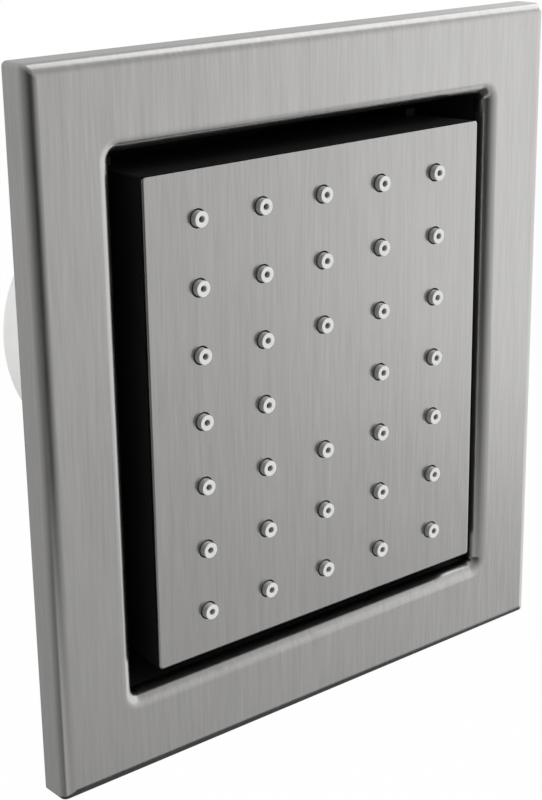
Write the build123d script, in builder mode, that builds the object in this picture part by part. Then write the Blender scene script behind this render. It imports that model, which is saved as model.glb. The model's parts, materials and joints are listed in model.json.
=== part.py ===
from build123d import *
import os
from math import cos, radians, sin, sqrt, tan

# Flush wall body jet. Millimetres, +X right and +Z up as seen from the front, +Y into the wall.
# The origin is the centre of the faceplate's back rim, on the finished wall.

# Faceplate
FACE_WIDTH = 120.0
FACE_HEIGHT = 130.7
FACE_DEPTH = 6.73
FACE_WALL = 1.6
FACE_EDGE_RADIUS = 2.24
FACE_CORNER_RADIUS = 0.9
FACE_BORDER = 16.2
LIP_DEPTH = 3.3
LIP_EDGE_RADIUS = 3.0
OPENING_CORNER_RADIUS = 1.0
CATCH_LENGTH = 12.0
CATCH_DEPTH = 0.9
CATCH_HEIGHT = 0.4

# Spray plate and nozzles
HEAD_GAP = 4.13
PLATE_PROUD = 1.72
PLATE_THICKNESS = 0.9
PLATE_CORNER_RADIUS = 0.7
PLATE_EDGE_RADIUS = 0.6
NOZZLE_COLUMNS = 5
NOZZLE_ROWS = 7
NOZZLE_MARGIN_X = 11.27
NOZZLE_MARGIN_Z = 8.48
NOZZLE_RADIUS = 1.45
NOZZLE_BORE_RADIUS = 0.57
NOZZLE_INLET_RADIUS = 1.0
NOZZLE_PROUD = 1.2
NOZZLE_TIP_CHAMFER = 0.1
NOZZLE_HOLE_CLEARANCE = 0.28
MAT_THICKNESS = 1.6
MAT_BORDER = 2.65
MAT_CLEARANCE = 0.2

# Head shell and chamber cover
HEAD_DEPTH = 21.25
HEAD_DRAFT = 2.0
SHELL_WALL = 1.8
SHELL_FRONT = 2.0
SHELL_CORNER_RADIUS = 0.8
BOSS_RADIUS = 2.2
BOSS_HEIGHT = 3.95
BOSS_ROWS = 4
BOSS_END_INSET = 4.84
COVER_THICKNESS = 2.0
COVER_CLEARANCE = 0.4
RIM_WIDTH = 2.0
RIB_THICKNESS = 1.6
RIB_COUNT = 8
RIB_END_GAP = 1.2
HEAD_SCREW_RADIUS = 1.2
HEAD_SCREW_HEAD_RADIUS = 2.3
HEAD_SCREW_HEAD_HEIGHT = 1.7
HEAD_SCREW_BITE = 3.4
SCREW_CLEARANCE = 0.2
THREAD_CLEARANCE = 0.05

# Rear cover and its latches
REAR_THICKNESS = 1.6
REAR_CLEARANCE = 0.15
LATCH_INSET = 3.17
LATCH_WIDTH = 2.4
LATCH_THICKNESS = 1.4
LATCH_REACH = 4.4
LATCH_CLEARANCE = 0.2

# Ball joint
PIVOT_DEPTH = 8.0
SWING_ANGLE = 8.0
BALL_RADIUS = 10.0
BALL_FRONT = 9.0
BALL_BORE_RADIUS = 3.6
JOINT_CLEARANCE = 0.06
SEAT_WALL = 1.8
SEAT_FRONT = 2.4
SEAT_BACK = 5.6
SEAT_SPLIT = 1.2
SOCKET_FRONT = 4.6
SEAL_FRONT = 7.4
SEAL_RADIUS = 10.2
SEAL_LENGTH = 2.6
PASSAGE_RADIUS = 7.2
HUB_RADIUS = 17.0
HUB_BACK = 7.4
NUT_FRONT = 3.4
NUT_RADIUS = 14.2
NUT_MOUTH = 6.6
NUT_FLARE = 0.7
NOTCH_WIDTH = 3.0
NOTCH_DEPTH = 1.6
NOTCH_COUNT = 4
PIN_RADIUS = 1.1
PIN_INNER = 4.4
PIN_OUTER = 13.6
PIN_SLOT_CLEARANCE = 0.1
PIN_SLOT_LENGTH = 3.4

# Recess tub and what is on its flange
RIM_COVER = 0.2
TUB_WALL = 1.6
TUB_DRAFT = 5.5
TUB_CORNER_RADIUS = 1.2
TUB_BACK_RADIUS = 2.5
TUB_CLEARANCE = 3.0
TUB_HOLE_RADIUS = 24.0
FLANGE_THICKNESS = 2.0
FLANGE_GAP = 1.5
FLANGE_CORNER_RADIUS = 3.0
GASKET_THICKNESS = 1.0
GASKET_CLEARANCE = 0.4
WALL_HOLE_RADIUS = 2.25
WALL_HOLE_INSET = 5.6
BACK_RIB_COUNT = 4
BACK_RIB_HEIGHT = 3.0
BACK_RIB_GAP = 0.5
BACK_RIB_END = 15.0
CLIP_PITCH = 58.0
CLIP_WIDTH = 10.0
CLIP_THICKNESS = 0.5
CLIP_BASE = 6.5
CLIP_GAP = 0.05
PEG_RADIUS = 1.2
PEG_HEIGHT = 0.9

# Mounting can
CAN_RADIUS = 28.4
CAN_WALL = 2.2
CAN_BACK_DEPTH = 58.63
CAN_EDGE_RADIUS = 1.2
CAN_FLANGE_WIDTH = 7.6
CAN_FLANGE_THICKNESS = 2.4
CAN_GASKET_THICKNESS = 1.0
CAN_SCREW_COUNT = 4
CAN_SCREW_START = 45.0
CAN_SCREW_RADIUS = 1.7
CAN_SCREW_HEAD_RADIUS = 3.2
CAN_SCREW_HEAD_HEIGHT = 1.9
CAN_SCREW_BITE = 7.0
CAN_BOSS_WALL = 1.9
CAN_BOSS_LENGTH = 8.5
CAN_GUSSET_COUNT = 4
CAN_GUSSET_LENGTH = 12.0

# Water inlet
INLET_BORE_RADIUS = 9.3
INLET_BORE_LENGTH = 14.0
INLET_TUBE_RADIUS = 13.0
INLET_HOLE_CLEARANCE = 0.2
INLET_HEX = 30.0
INLET_HEX_LENGTH = 7.0
INLET_GASKET_THICKNESS = 1.0
INLET_GASKET_RADIUS = 14.6
LOCKNUT_HEX = 34.0
LOCKNUT_LENGTH = 5.0
HEX_CHAMFER_ANGLE = 30.0
HEX_FACE_INSET = 0.4
STRAINER_THICKNESS = 2.0
STRAINER_SEAT_STEP = 0.5
STRAINER_HOLE_RADIUS = 0.8
STRAINER_RING_RADIUS = 5.0
STRAINER_RING_COUNT = 10
REGULATOR_RADIUS = 6.5
REGULATOR_LENGTH = 6.0
REGULATOR_CORE_RADIUS = 3.0
REGULATOR_SLOT_RADIUS = 4.9
REGULATOR_SLOT_COUNT = 6
REGULATOR_SLOT_SIZE = 0.9
REGULATOR_WALL = 0.4
SEAT_WEB = 1.2
STEM_BORE_RADIUS = 4.6
STEM_NECK_RADIUS = 6.6
STEM_HEX = 20.0
STEM_HEX_LENGTH = 5.0
STEM_SHANK_RADIUS = 8.6
STEM_SHANK_LENGTH = 10.2
STEM_FIT_CLEARANCE = 0.05
STEM_END_GAP = 0.2
O_RING_GROOVE = 1.55
O_RING_GROOVE_WIDTH = 2.2
O_RING_INSET = 3.0

# Depths and sizes that follow from the driving dimensions
opening_width = FACE_WIDTH - 2 * FACE_BORDER
opening_height = FACE_HEIGHT - 2 * FACE_BORDER
skirt_width = FACE_WIDTH - 2 * FACE_WALL
skirt_height = FACE_HEIGHT - 2 * FACE_WALL
face_inner_depth = FACE_WALL - FACE_DEPTH
rim_depth = LIP_DEPTH - FACE_DEPTH

plate_width = opening_width - 2 * HEAD_GAP
plate_height = opening_height - 2 * HEAD_GAP
plate_front = -FACE_DEPTH - PLATE_PROUD
plate_back = plate_front + PLATE_THICKNESS
nozzle_tip = plate_front - NOZZLE_PROUD
mat_back = plate_back + MAT_THICKNESS
nozzle_pitch_x = (plate_width - 2 * NOZZLE_MARGIN_X) / (NOZZLE_COLUMNS - 1)
nozzle_pitch_z = (plate_height - 2 * NOZZLE_MARGIN_Z) / (NOZZLE_ROWS - 1)
mat_width = (NOZZLE_COLUMNS - 1) * nozzle_pitch_x + 2 * (NOZZLE_RADIUS + MAT_BORDER)
mat_height = (NOZZLE_ROWS - 1) * nozzle_pitch_z + 2 * (NOZZLE_RADIUS + MAT_BORDER)
window_width = mat_width + 2 * MAT_CLEARANCE
window_height = mat_height + 2 * MAT_CLEARANCE

shell_seat = plate_back + SHELL_FRONT
boss_top = shell_seat + BOSS_HEIGHT
cover_back = boss_top + COVER_THICKNESS
head_back = plate_front + HEAD_DEPTH
rear_front = head_back - REAR_THICKNESS
latch_pitch = plate_width - 2 * LATCH_INSET
boss_offset = window_width / 2 + BOSS_RADIUS
boss_pitch = (window_height - 2 * BOSS_END_INSET) / (BOSS_ROWS - 1)

seat_inner_radius = BALL_RADIUS + JOINT_CLEARANCE
seat_outer_radius = seat_inner_radius + SEAT_WALL
socket_radius = seat_outer_radius + JOINT_CLEARANCE
hub_end = PIVOT_DEPTH + HUB_BACK

swing = radians(SWING_ANGLE)
head_taper = (head_back - plate_back) * tan(radians(HEAD_DRAFT))
rear_width = plate_width - 2 * head_taper
rear_height = plate_height - 2 * head_taper
corner_reach = (
    PIVOT_DEPTH
    + (head_back - PIVOT_DEPTH) * cos(swing) ** 2
    + rear_width / 2 * sin(swing) * cos(swing)
    + rear_height / 2 * sin(swing)
)
tub_floor = corner_reach + TUB_CLEARANCE
tub_back = tub_floor + TUB_WALL
mouth_width = opening_width + 2 * RIM_COVER
mouth_height = opening_height + 2 * RIM_COVER
flange_back = -GASKET_THICKNESS
flange_front = flange_back - FLANGE_THICKNESS
flange_width = skirt_width - 2 * FLANGE_GAP
flange_height = skirt_height - 2 * FLANGE_GAP
wall_hole_x = flange_width / 2 - WALL_HOLE_INSET
wall_hole_z = flange_height / 2 - WALL_HOLE_INSET

can_front = tub_back + CAN_GASKET_THICKNESS
can_flange_radius = CAN_RADIUS + CAN_FLANGE_WIDTH
can_screw_circle = CAN_RADIUS + CAN_FLANGE_WIDTH / 2
can_flange_back = can_front + CAN_FLANGE_THICKNESS
can_inner_back = CAN_BACK_DEPTH - CAN_WALL
can_boss_radius = CAN_SCREW_RADIUS + CAN_BOSS_WALL
can_boss_back = can_front + CAN_BOSS_LENGTH
back_rib_middle = can_flange_radius + (BACK_RIB_GAP + BACK_RIB_END) / 2

hex_front = CAN_BACK_DEPTH + INLET_GASKET_THICKNESS
inlet_mouth = hex_front + INLET_HEX_LENGTH
strainer_back = inlet_mouth - INLET_BORE_LENGTH
strainer_front = strainer_back - STRAINER_THICKNESS
strainer_seat_radius = INLET_BORE_RADIUS - STRAINER_SEAT_STEP
regulator_front = strainer_front - REGULATOR_LENGTH
web_front = regulator_front - SEAT_WEB
stem_end = web_front - STEM_END_GAP
shank_front = stem_end - STEM_SHANK_LENGTH
o_ring_depth = stem_end - O_RING_INSET - O_RING_GROOVE_WIDTH / 2
stem_socket_radius = STEM_SHANK_RADIUS + STEM_FIT_CLEARANCE
groove_radius = STEM_SHANK_RADIUS - O_RING_GROOVE
o_ring_section = (stem_socket_radius - groove_radius) / 2 - STEM_FIT_CLEARANCE

os.makedirs("parts", exist_ok=True)


def at_depth(depth):
    """Plane parallel to the wall at a depth, facing the viewer: local x is +X, local y is +Z."""
    return Plane.XZ.offset(-depth)


def on_sphere(radius, offset):
    """Profile point (radius from the Y axis, depth) of a sphere round the ball's centre."""
    return (sqrt(radius**2 - offset**2), PIVOT_DEPTH + offset)


def narrowed(depth_from, depth_to, draft):
    """Inset of a drafted wall between two depths."""
    return (depth_to - depth_from) * tan(radians(draft))


def hex_chamfer(across, end, inwards):
    """Ring that cuts the corners off a hexagon's end face; inwards is the direction into the hexagon."""
    inner = across / 2 - HEX_FACE_INSET
    outer = across / sqrt(3) + HEX_FACE_INSET
    depth = (outer - inner) * tan(radians(HEX_CHAMFER_ANGLE))
    with BuildSketch(Plane.XY) as section:
        with BuildLine():
            Polyline((inner, end), (outer, end), (outer, end + inwards * depth), close=True)
        make_face()
    return section.sketch


def nozzle_places():
    """Nozzle centres on the plate: a full grid without its middle place."""
    middle = ((NOZZLE_COLUMNS - 1) / 2, (NOZZLE_ROWS - 1) / 2)
    return [
        ((column - middle[0]) * nozzle_pitch_x, (row - middle[1]) * nozzle_pitch_z)
        for column in range(NOZZLE_COLUMNS)
        for row in range(NOZZLE_ROWS)
        if (column, row) != middle
    ]


def boss_places():
    """Head screw centres: one row down each side of the nozzle window."""
    first = -(BOSS_ROWS - 1) / 2 * boss_pitch
    return [(side * boss_offset, first + row * boss_pitch) for side in (-1, 1) for row in range(BOSS_ROWS)]


# Faceplate: hollow frame with a rounded outer edge, a rounded lip and a catch ridge at each clip
with BuildPart() as faceplate:
    with BuildSketch(at_depth(0)):
        Rectangle(FACE_WIDTH, FACE_HEIGHT)
    extrude(amount=FACE_DEPTH)
    fillet(faceplate.faces().sort_by(Axis.Y)[0].edges(), FACE_EDGE_RADIUS)
    fillet(faceplate.edges().filter_by(Axis.Y), FACE_CORNER_RADIUS)
    with BuildSketch(at_depth(0)):
        RectangleRounded(opening_width, opening_height, OPENING_CORNER_RADIUS)
    extrude(amount=FACE_DEPTH, mode=Mode.SUBTRACT)
    fillet(faceplate.faces().sort_by(Axis.Y)[0].inner_wires().edges(), LIP_EDGE_RADIUS)
    with BuildSketch(at_depth(0)):
        Rectangle(skirt_width, skirt_height)
        RectangleRounded(
            opening_width + 2 * FACE_WALL,
            opening_height + 2 * FACE_WALL,
            OPENING_CORNER_RADIUS + FACE_WALL,
            mode=Mode.SUBTRACT,
        )
    extrude(amount=-face_inner_depth, mode=Mode.SUBTRACT)
    with BuildSketch(at_depth(0)):
        Rectangle(skirt_width, skirt_height)
    extrude(amount=-rim_depth, mode=Mode.SUBTRACT)
    with BuildSketch(at_depth(flange_front)):
        for side in (-1, 1):
            with Locations((0, side * (skirt_height - CATCH_HEIGHT) / 2)):
                with GridLocations(CLIP_PITCH, 0, 2, 1):
                    Rectangle(CATCH_LENGTH, CATCH_HEIGHT)
    extrude(amount=CATCH_DEPTH)
faceplate.part.label = "faceplate"
export_step(faceplate.part, "parts/faceplate.step")

# Recess tub: drafted box with a flange on the wall, a floor hole for the stem and stiffening ribs
with BuildPart() as recess_tub:
    outer_taper = narrowed(rim_depth, tub_back, TUB_DRAFT)
    with BuildSketch(at_depth(rim_depth)):
        RectangleRounded(
            mouth_width + 2 * TUB_WALL,
            mouth_height + 2 * TUB_WALL,
            TUB_CORNER_RADIUS + TUB_WALL,
        )
    with BuildSketch(at_depth(tub_back)):
        RectangleRounded(
            mouth_width + 2 * (TUB_WALL - outer_taper),
            mouth_height + 2 * (TUB_WALL - outer_taper),
            TUB_CORNER_RADIUS + TUB_WALL,
        )
    loft()
    fillet(recess_tub.faces().sort_by(Axis.Y)[-1].edges(), TUB_BACK_RADIUS)
    with BuildSketch(at_depth(flange_back)):
        RectangleRounded(flange_width, flange_height, FLANGE_CORNER_RADIUS)
    extrude(amount=FLANGE_THICKNESS)
    inner_taper = narrowed(rim_depth, tub_floor, TUB_DRAFT)
    with BuildSketch(at_depth(rim_depth)):
        RectangleRounded(mouth_width, mouth_height, TUB_CORNER_RADIUS)
    with BuildSketch(at_depth(tub_floor)):
        RectangleRounded(mouth_width - 2 * inner_taper, mouth_height - 2 * inner_taper, TUB_CORNER_RADIUS)
    loft(mode=Mode.SUBTRACT)
    with BuildSketch(at_depth(tub_back)):
        Circle(TUB_HOLE_RADIUS)
        with PolarLocations(can_screw_circle, CAN_SCREW_COUNT, start_angle=CAN_SCREW_START):
            Circle(CAN_SCREW_RADIUS + SCREW_CLEARANCE)
    extrude(amount=TUB_WALL, mode=Mode.SUBTRACT)
    with BuildSketch(at_depth(flange_back)):
        with GridLocations(2 * wall_hole_x, 2 * wall_hole_z, 2, 2):
            Circle(WALL_HOLE_RADIUS)
    extrude(amount=FLANGE_THICKNESS, mode=Mode.SUBTRACT)
    with BuildSketch(at_depth(flange_front)):
        with GridLocations(CLIP_PITCH, flange_height - CLIP_BASE, 2, 2):
            Circle(PEG_RADIUS)
    extrude(amount=PEG_HEIGHT)
    with BuildSketch(at_depth(tub_back + BACK_RIB_HEIGHT)):
        with PolarLocations(back_rib_middle, BACK_RIB_COUNT, start_angle=CAN_SCREW_START):
            Rectangle(BACK_RIB_END - BACK_RIB_GAP, RIB_THICKNESS)
    extrude(amount=BACK_RIB_HEIGHT)
recess_tub.part.label = "recess_tub"
export_step(recess_tub.part, "parts/recess_tub.step")

# Foam gasket between the tub's flange and the wall
with BuildPart() as wall_gasket:
    with BuildSketch(at_depth(0)):
        RectangleRounded(flange_width, flange_height, FLANGE_CORNER_RADIUS)
        RectangleRounded(
            mouth_width + 2 * (TUB_WALL + GASKET_CLEARANCE),
            mouth_height + 2 * (TUB_WALL + GASKET_CLEARANCE),
            TUB_CORNER_RADIUS + TUB_WALL,
            mode=Mode.SUBTRACT,
        )
        with GridLocations(2 * wall_hole_x, 2 * wall_hole_z, 2, 2):
            Circle(WALL_HOLE_RADIUS, mode=Mode.SUBTRACT)
    extrude(amount=GASKET_THICKNESS)
wall_gasket.part.label = "wall_gasket"
export_step(wall_gasket.part, "parts/wall_gasket.step")

# Spring clips on the flange: a flat base on a peg and a leg that leans on the faceplate's skirt
with BuildPart() as faceplate_clips:
    clip_root = flange_height / 2
    clip_heel = clip_root - CLIP_BASE
    clip_tip = skirt_height / 2 - CLIP_GAP
    clip_front = face_inner_depth + CLIP_THICKNESS
    for place in (-CLIP_PITCH / 2, CLIP_PITCH / 2):
        with BuildSketch(Plane.YZ.offset(place)):
            with BuildLine():
                Polyline(
                    (flange_front, clip_heel),
                    (flange_front, clip_root),
                    (clip_front, clip_tip),
                    (clip_front, clip_tip - CLIP_THICKNESS),
                    (flange_front - CLIP_THICKNESS, clip_root - CLIP_THICKNESS),
                    (flange_front - CLIP_THICKNESS, clip_heel),
                    close=True,
                )
            make_face()
        extrude(amount=CLIP_WIDTH / 2, both=True)
    with BuildSketch(at_depth(flange_front)):
        with GridLocations(CLIP_PITCH, flange_height - CLIP_BASE, 2, 2):
            Circle(PEG_RADIUS + THREAD_CLEARANCE)
    extrude(amount=CLIP_THICKNESS, mode=Mode.SUBTRACT)
    mirror(about=Plane.XY)
faceplate_clips.part.label = "faceplate_clips"
export_step(faceplate_clips.part, "parts/faceplate_clips.step")

# Mounting can: round housing with a screwed flange, screw bosses and gussets
with BuildPart() as mounting_can:
    with BuildSketch(Plane.XY):
        with BuildLine():
            Polyline(
                (CAN_RADIUS - CAN_WALL, can_front),
                (can_flange_radius, can_front),
                (can_flange_radius, can_flange_back),
                (CAN_RADIUS, can_flange_back),
                (CAN_RADIUS, CAN_BACK_DEPTH),
                (INLET_TUBE_RADIUS + INLET_HOLE_CLEARANCE, CAN_BACK_DEPTH),
                (INLET_TUBE_RADIUS + INLET_HOLE_CLEARANCE, can_inner_back),
                (CAN_RADIUS - CAN_WALL, can_inner_back),
                close=True,
            )
        make_face()
    revolve(axis=Axis.Y)
    back_edges = mounting_can.edges().filter_by(GeomType.CIRCLE).group_by(Axis.Y)[-1]
    fillet(back_edges.sort_by(SortBy.RADIUS)[-1], CAN_EDGE_RADIUS)
    with BuildSketch(at_depth(can_boss_back)):
        with PolarLocations(can_screw_circle, CAN_SCREW_COUNT, start_angle=CAN_SCREW_START):
            Circle(can_boss_radius)
        Circle(CAN_RADIUS - CAN_WALL / 2, mode=Mode.SUBTRACT)
    extrude(amount=CAN_BOSS_LENGTH)
    with BuildSketch(at_depth(can_front)):
        with PolarLocations(can_screw_circle, CAN_SCREW_COUNT, start_angle=CAN_SCREW_START):
            Circle(CAN_SCREW_RADIUS + THREAD_CLEARANCE)
    extrude(amount=-CAN_BOSS_LENGTH, mode=Mode.SUBTRACT)
    with BuildSketch(Plane.XY):
        with BuildLine():
            Polyline(
                (CAN_RADIUS - CAN_WALL / 2, can_flange_back),
                (can_flange_radius - CAN_WALL, can_flange_back),
                (CAN_RADIUS - CAN_WALL / 2, can_flange_back + CAN_GUSSET_LENGTH),
                close=True,
            )
        make_face()
    gusset = extrude(amount=RIB_THICKNESS / 2, both=True, mode=Mode.PRIVATE)
    for number in range(CAN_GUSSET_COUNT):
        add(gusset.rotate(Axis.Y, number * 360 / CAN_GUSSET_COUNT))
mounting_can.part.label = "mounting_can"
export_step(mounting_can.part, "parts/mounting_can.step")

# Flat gasket between the tub's floor and the can's flange
with BuildPart() as can_gasket:
    with BuildSketch(at_depth(can_front)):
        Circle(can_flange_radius)
        Circle(CAN_RADIUS - CAN_WALL, mode=Mode.SUBTRACT)
        with PolarLocations(can_screw_circle, CAN_SCREW_COUNT, start_angle=CAN_SCREW_START):
            Circle(CAN_SCREW_RADIUS + SCREW_CLEARANCE, mode=Mode.SUBTRACT)
    extrude(amount=CAN_GASKET_THICKNESS)
can_gasket.part.label = "can_gasket"
export_step(can_gasket.part, "parts/can_gasket.step")

# Pan-head screws from the tub's floor into the can's bosses
with BuildPart() as can_screws:
    with BuildSketch(at_depth(can_front + CAN_SCREW_BITE)):
        with PolarLocations(can_screw_circle, CAN_SCREW_COUNT, start_angle=CAN_SCREW_START):
            Circle(CAN_SCREW_RADIUS)
    extrude(amount=can_front + CAN_SCREW_BITE - tub_floor)
    with BuildSketch(at_depth(tub_floor)):
        with PolarLocations(can_screw_circle, CAN_SCREW_COUNT, start_angle=CAN_SCREW_START):
            Circle(CAN_SCREW_HEAD_RADIUS)
    extrude(amount=CAN_SCREW_HEAD_HEIGHT)
can_screws.part.label = "can_screws"
export_step(can_screws.part, "parts/can_screws.step")

# Brass inlet: threaded tube through the can's back, hex outside, stepped bore inside
with BuildPart() as inlet_body:
    with BuildSketch(at_depth(hex_front)):
        Circle(INLET_TUBE_RADIUS)
    extrude(amount=hex_front - shank_front)
    with BuildSketch(at_depth(inlet_mouth)):
        RegularPolygon(INLET_HEX / 2, 6, major_radius=False)
    extrude(amount=INLET_HEX_LENGTH)
    with BuildSketch(Plane.XY):
        with BuildLine():
            Polyline(
                (0, shank_front),
                (stem_socket_radius, shank_front),
                (stem_socket_radius, web_front),
                (STEM_BORE_RADIUS, web_front),
                (STEM_BORE_RADIUS, regulator_front),
                (REGULATOR_RADIUS, regulator_front),
                (REGULATOR_RADIUS, strainer_front),
                (strainer_seat_radius, strainer_front),
                (strainer_seat_radius, strainer_back),
                (INLET_BORE_RADIUS, strainer_back),
                (INLET_BORE_RADIUS, inlet_mouth),
                (0, inlet_mouth),
                close=True,
            )
        make_face()
    revolve(axis=Axis.Y, mode=Mode.SUBTRACT)
    revolve(hex_chamfer(INLET_HEX, inlet_mouth, -1), axis=Axis.Y, mode=Mode.SUBTRACT)
inlet_body.part.label = "inlet_body"
export_step(inlet_body.part, "parts/inlet_body.step")

# Rubber washer between the can's back and the inlet's hex
with BuildPart() as inlet_gasket:
    with BuildSketch(at_depth(hex_front)):
        Circle(INLET_GASKET_RADIUS)
        Circle(INLET_TUBE_RADIUS + THREAD_CLEARANCE, mode=Mode.SUBTRACT)
    extrude(amount=INLET_GASKET_THICKNESS)
inlet_gasket.part.label = "inlet_gasket"
export_step(inlet_gasket.part, "parts/inlet_gasket.step")

# Hexagonal nut that clamps the inlet inside the can
with BuildPart() as inlet_locknut:
    with BuildSketch(at_depth(can_inner_back)):
        RegularPolygon(LOCKNUT_HEX / 2, 6, major_radius=False)
        Circle(INLET_TUBE_RADIUS + THREAD_CLEARANCE, mode=Mode.SUBTRACT)
    extrude(amount=LOCKNUT_LENGTH)
    revolve(hex_chamfer(LOCKNUT_HEX, can_inner_back - LOCKNUT_LENGTH, 1), axis=Axis.Y, mode=Mode.SUBTRACT)
inlet_locknut.part.label = "inlet_locknut"
export_step(inlet_locknut.part, "parts/inlet_locknut.step")

# Perforated strainer at the bottom of the inlet bore
with BuildPart() as inlet_strainer:
    with BuildSketch(at_depth(strainer_back)):
        Circle(strainer_seat_radius - THREAD_CLEARANCE)
        with PolarLocations(STRAINER_RING_RADIUS, STRAINER_RING_COUNT):
            Circle(STRAINER_HOLE_RADIUS, mode=Mode.SUBTRACT)
        with PolarLocations(STRAINER_RING_RADIUS / 2, STRAINER_RING_COUNT // 2):
            Circle(STRAINER_HOLE_RADIUS, mode=Mode.SUBTRACT)
    extrude(amount=STRAINER_THICKNESS)
inlet_strainer.part.label = "inlet_strainer"
export_step(inlet_strainer.part, "parts/inlet_strainer.step")

# Flow regulator: a disc with a ring of slots round a raised core
with BuildPart() as flow_regulator:
    with BuildSketch(at_depth(strainer_front)):
        Circle(REGULATOR_RADIUS - THREAD_CLEARANCE)
        with PolarLocations(REGULATOR_SLOT_RADIUS, REGULATOR_SLOT_COUNT):
            Circle(REGULATOR_SLOT_SIZE, mode=Mode.SUBTRACT)
    extrude(amount=REGULATOR_LENGTH)
    with BuildSketch(at_depth(regulator_front + REGULATOR_LENGTH / 2)):
        Circle(REGULATOR_RADIUS - REGULATOR_WALL)
        Circle(REGULATOR_CORE_RADIUS, mode=Mode.SUBTRACT)
    extrude(amount=REGULATOR_LENGTH / 2, mode=Mode.SUBTRACT)
flow_regulator.part.label = "flow_regulator"
export_step(flow_regulator.part, "parts/flow_regulator.step")

# Ball stem: bored ball on a neck, a wrench hex and a shank with a seal groove
with BuildPart() as ball_stem:
    neck_offset = sqrt(BALL_RADIUS**2 - STEM_NECK_RADIUS**2)
    with BuildSketch(Plane.XY):
        with BuildLine():
            Polyline(
                (0, PIVOT_DEPTH - BALL_FRONT),
                on_sphere(BALL_RADIUS, -BALL_FRONT),
            )
            ThreePointArc(
                on_sphere(BALL_RADIUS, -BALL_FRONT),
                on_sphere(BALL_RADIUS, 0),
                on_sphere(BALL_RADIUS, neck_offset),
            )
            Polyline(
                on_sphere(BALL_RADIUS, neck_offset),
                (STEM_NECK_RADIUS, shank_front),
                (STEM_SHANK_RADIUS, shank_front),
                (STEM_SHANK_RADIUS, o_ring_depth - O_RING_GROOVE_WIDTH / 2),
                (groove_radius, o_ring_depth - O_RING_GROOVE_WIDTH / 2),
                (groove_radius, o_ring_depth + O_RING_GROOVE_WIDTH / 2),
                (STEM_SHANK_RADIUS, o_ring_depth + O_RING_GROOVE_WIDTH / 2),
                (STEM_SHANK_RADIUS, stem_end),
                (0, stem_end),
                (0, PIVOT_DEPTH - BALL_FRONT),
            )
        make_face()
    revolve(axis=Axis.Y)
    with BuildSketch(at_depth(shank_front)):
        RegularPolygon(STEM_HEX / 2, 6, major_radius=False)
    extrude(amount=STEM_HEX_LENGTH)
    with BuildSketch(at_depth(stem_end)):
        Circle(BALL_BORE_RADIUS)
    extrude(amount=stem_end - PIVOT_DEPTH + BALL_RADIUS, mode=Mode.SUBTRACT)
    with BuildSketch(Plane.YZ):
        with Locations((PIVOT_DEPTH, 0)):
            Circle(PIN_RADIUS)
    extrude(amount=BALL_RADIUS, both=True, mode=Mode.SUBTRACT)
ball_stem.part.label = "ball_stem"
export_step(ball_stem.part, "parts/ball_stem.step")

# O-ring on the stem's shank
with BuildPart() as stem_o_ring:
    with BuildSketch(Plane.XY):
        with Locations(((groove_radius + stem_socket_radius) / 2, o_ring_depth)):
            Circle(o_ring_section)
    revolve(axis=Axis.Y)
stem_o_ring.part.label = "stem_o_ring"
export_step(stem_o_ring.part, "parts/stem_o_ring.step")

# Pins across the ball: they slide in the hub's slots, so that the face can't spin
with BuildPart() as anti_turn_pins:
    for side in (-1, 1):
        with BuildSketch(Plane.YZ.offset(side * PIN_INNER)):
            with Locations((PIVOT_DEPTH, 0)):
                Circle(PIN_RADIUS)
        extrude(amount=side * (PIN_OUTER - PIN_INNER))
anti_turn_pins.part.label = "anti_turn_pins"
export_step(anti_turn_pins.part, "parts/anti_turn_pins.step")

# Split seat ring: spherical zone between the ball and the socket, turning on the pins
with BuildPart() as seat_ring:
    with Locations((0, PIVOT_DEPTH, 0)):
        Sphere(seat_outer_radius)
        Sphere(seat_inner_radius, mode=Mode.SUBTRACT)
    with Locations((0, PIVOT_DEPTH + (SEAT_BACK - SEAT_FRONT) / 2, 0)):
        Box(
            2 * seat_outer_radius,
            SEAT_BACK + SEAT_FRONT,
            2 * seat_outer_radius,
            mode=Mode.INTERSECT,
        )
    with BuildSketch(Plane.YZ):
        with Locations((PIVOT_DEPTH, 0)):
            Circle(PIN_RADIUS + JOINT_CLEARANCE)
    extrude(amount=seat_outer_radius, both=True, mode=Mode.SUBTRACT)
    with BuildSketch(Plane.XY):
        with Locations((0, PIVOT_DEPTH)):
            Rectangle(SEAT_SPLIT, 2 * seat_outer_radius)
    extrude(amount=seat_outer_radius, mode=Mode.SUBTRACT)
seat_ring.part.label = "seat_ring"
export_step(seat_ring.part, "parts/seat_ring.step")

# Spray plate: brushed sheet with a hole for each nozzle
with BuildPart() as spray_plate:
    with BuildSketch(at_depth(plate_back)):
        RectangleRounded(plate_width, plate_height, PLATE_CORNER_RADIUS)
        with Locations(nozzle_places()):
            Circle(NOZZLE_RADIUS + NOZZLE_HOLE_CLEARANCE, mode=Mode.SUBTRACT)
    extrude(amount=PLATE_THICKNESS)
    fillet(spray_plate.faces().sort_by(Axis.Y)[0].outer_wire().edges(), PLATE_EDGE_RADIUS)
spray_plate.part.label = "spray_plate"
export_step(spray_plate.part, "parts/spray_plate.step")

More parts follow.
